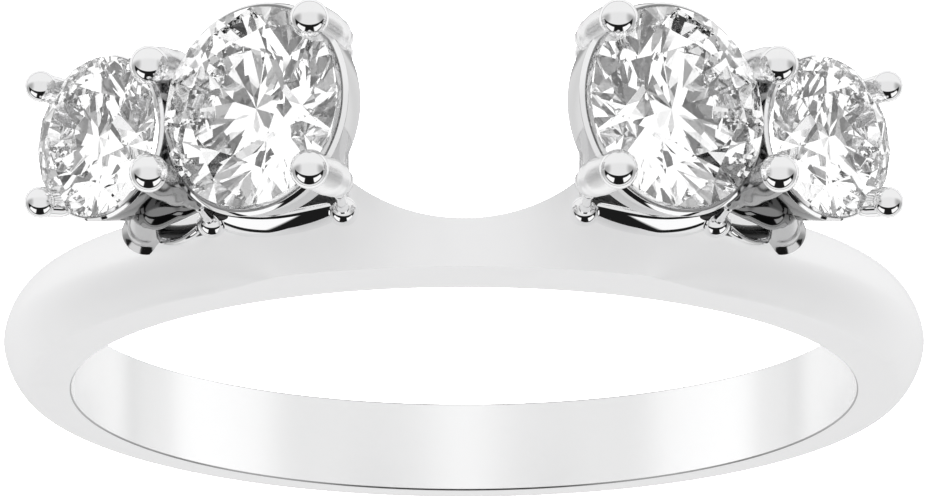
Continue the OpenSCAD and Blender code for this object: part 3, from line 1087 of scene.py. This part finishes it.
# How bright each part of the studio is, as the metal mirrors it, as the stones
# gather it and as it falls on satin metal
MIRRORED = {"tent": 0.84, "ends": 0.43, "ground": 0.92, "seam": 0.05, "border": 1.05,
            "back": 0.93, "middle": 0.42, "strip": 0.012, "panels": 1.05}
GATHERED = {"tent": 1.35, "ends": 0.45, "cards": 0.31, "strip": 0.34, "flags": 0.06,
            "slivers": 0.004, "slit": 0.01}
FALLING = {"tent": 0.98, "top": 0.92, "ends": 1.25, "camera side": 0.64}

# How many degrees the strip and the panels lean from straight overhead, and the
# upright ring's direction to the wall behind it
STRIP_LEAN = 5
PANEL_LEAN = 9.5
BEHIND = (0, 0.2593, -0.9658)


def within(angle, outer, inner):
    """1 where the angle is under inner degrees, and 0 over outer degrees."""
    return ramp(angle, math.radians(outer), math.radians(inner))


def slanted_cards(turn, height, count, slant, start, fade):
    """1 on cards that stand round the ring and lean, and 0 between them."""
    wave = (turn * count + height * slant + start).work("SINE")
    return ramp(wave, *fade)


def make_studio():
    """Soft white tent, drawn by the direction in which light comes from it."""
    world = bpy.data.worlds.new("studio")
    world.use_nodes = True
    bpy.context.scene.world = world
    tree = world.node_tree
    ground = tree.nodes["Background"]
    direction = put_node(tree, "ShaderNodeTexCoord").outputs["Generated"]
    x, y, z = split_vector(tree, direction)
    across = x.work("ABSOLUTE")
    ends = ramp(across, 0.6, 0.98) * ramp(z.work("ABSOLUTE"), 0.7, 0.3)
    fore = y.work("ARCTAN2", z)
    overhead = (fore - math.radians(STRIP_LEAN)).work("ABSOLUTE")
    panels = (fore - math.radians(PANEL_LEAN)).work("ABSOLUTE")
    path = put_node(tree, "ShaderNodeLightPath")

    # 1 behind the ring as the camera sees it, and -1 on the camera's side
    behind = lay_direction(*BEHIND)
    facing = x * behind.x + y * behind.y + z * behind.z

    # What the metal mirrors: light walls, a dark strip overhead and bright panels
    level = blend(ends, fixed(tree, MIRRORED["tent"]), MIRRORED["ends"])
    level = blend(ramp(z, 0.0, -0.4), level, MIRRORED["ground"])
    level = blend(ramp(facing, 0.45, 0.47), level, MIRRORED["seam"])
    level = blend(ramp(facing, 0.49, 0.51), level, MIRRORED["border"])
    level = blend(ramp(facing, 0.6, 0.75), level, MIRRORED["back"])
    level = blend(ramp(facing, 0.88, 0.96), level, MIRRORED["middle"])
    level = blend(within(overhead, 32.5, 30.5), level, MIRRORED["strip"])
    panel = within(panels, 18.5, 17) * ramp(across, 0.34, 0.4) * ramp(across, 0.9, 0.86)
    level = blend(panel, level, MIRRORED["panels"])

    # What the stones gather: brighter walls, grey cards and a thin dark slit
    turn = y.work("ARCTAN2", x)
    bright = blend(ends, fixed(tree, GATHERED["tent"]), GATHERED["ends"])
    cards = slanted_cards(turn, z, 6.0, 4.0, 0.7, (-0.25, -0.17))
    cards = cards * ramp(z, 0.1, 0.14) * ramp(z, 0.72, 0.68)
    bright = blend(cards, bright, GATHERED["cards"])
    bright = blend(within(overhead, 22, 20), bright, GATHERED["strip"])
    low = ramp(z, 0.05, 0.1)
    flags = slanted_cards(turn, z, 7.0, 6.0, 2.0, (0.6, 0.64))
    bright = blend(flags * low, bright, GATHERED["flags"])
    slivers = slanted_cards(turn, z, 11.0, -9.0, 0.0, (0.72, 0.74))
    bright = blend(slivers * low, bright, GATHERED["slivers"])
    bright = blend(within(overhead, 6, 5), bright, GATHERED["slit"])
    level = blend(Term(tree, path.outputs["Is Transmission Ray"]), level, bright)

    # What falls on satin metal: an even light, weaker from the camera's side
    soft = blend(ramp(z, 0.4, 0.9), fixed(tree, FALLING["tent"]), FALLING["top"])
    soft = blend(ends, soft, FALLING["ends"])
    soft = blend(ramp(facing, -0.5, -0.9), soft, FALLING["camera side"])
    level = blend(Term(tree, path.outputs["Is Diffuse Ray"]), level, soft)
    connect(tree, level, ground.inputs["Strength"])
    ground.inputs["Color"].default_value = (1.0, 1.0, 1.0, 1.0)


# Build
make_camera()
floor = make_floor(cad_box[0].z)
make_studio()
make_lamp("floor lamp", place=(0.0, -0.2, 0.6), size=0.6, watts=30.0, only=floor, mirrored=False)
bpy.context.scene.view_settings.view_transform = "Standard"
bpy.context.scene.cycles.max_bounces = 32
bpy.context.scene.cycles.glossy_bounces = 24
bpy.context.scene.cycles.transmission_bounces = 32

band = make_band()
make_lamp("middle stripe", place=(0.0, -0.5, -0.22), size=0.3, watts=0.22, only=band,
          mirrored=True)
for side in (-1, 1):
    make_lamp("side stripe", place=(side * 0.48, -0.15, -0.22), size=0.42, watts=0.2,
              only=band, mirrored=True)
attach(band, "root")
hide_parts("ring_mount")

prongs = head_mesh()
# The seats' walls get darker metals as painted shade, the small one's darkest
seats = join_meshes([
    seat_mesh(LARGE_MID, LARGE_LEAN, LARGE_R, LARGE_RIM_OVER, LARGE_SEAT_H, WALL_SHADE_METAL),
    seat_mesh(SMALL_MID, SMALL_LEAN, SMALL_R, SMALL_RIM_OVER, SMALL_SEAT_H, WEB_SHADE_METAL)])
for side, matrix in (("left", Matrix.Identity(4)), ("right", MIRROR)):
    for name, mesh in (("prongs", prongs), ("seats", seats)):
        piece = lay_piece(f"{name}_{side}", turn_mesh(mesh.copy(), matrix))
        piece.visible_diffuse = False
        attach(piece, "root")
        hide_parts("ring_mount")
    for name, mid, lean, r in (("large", LARGE_MID, LARGE_LEAN, LARGE_R),
                               ("small", SMALL_MID, SMALL_LEAN, SMALL_R)):
        stone = make_stone(f"{name}_brilliant_{side}", mid, lean, r, matrix)
        stone.visible_diffuse = False
        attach(stone, "root")
        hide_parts(f"{name}_stone_{side}")
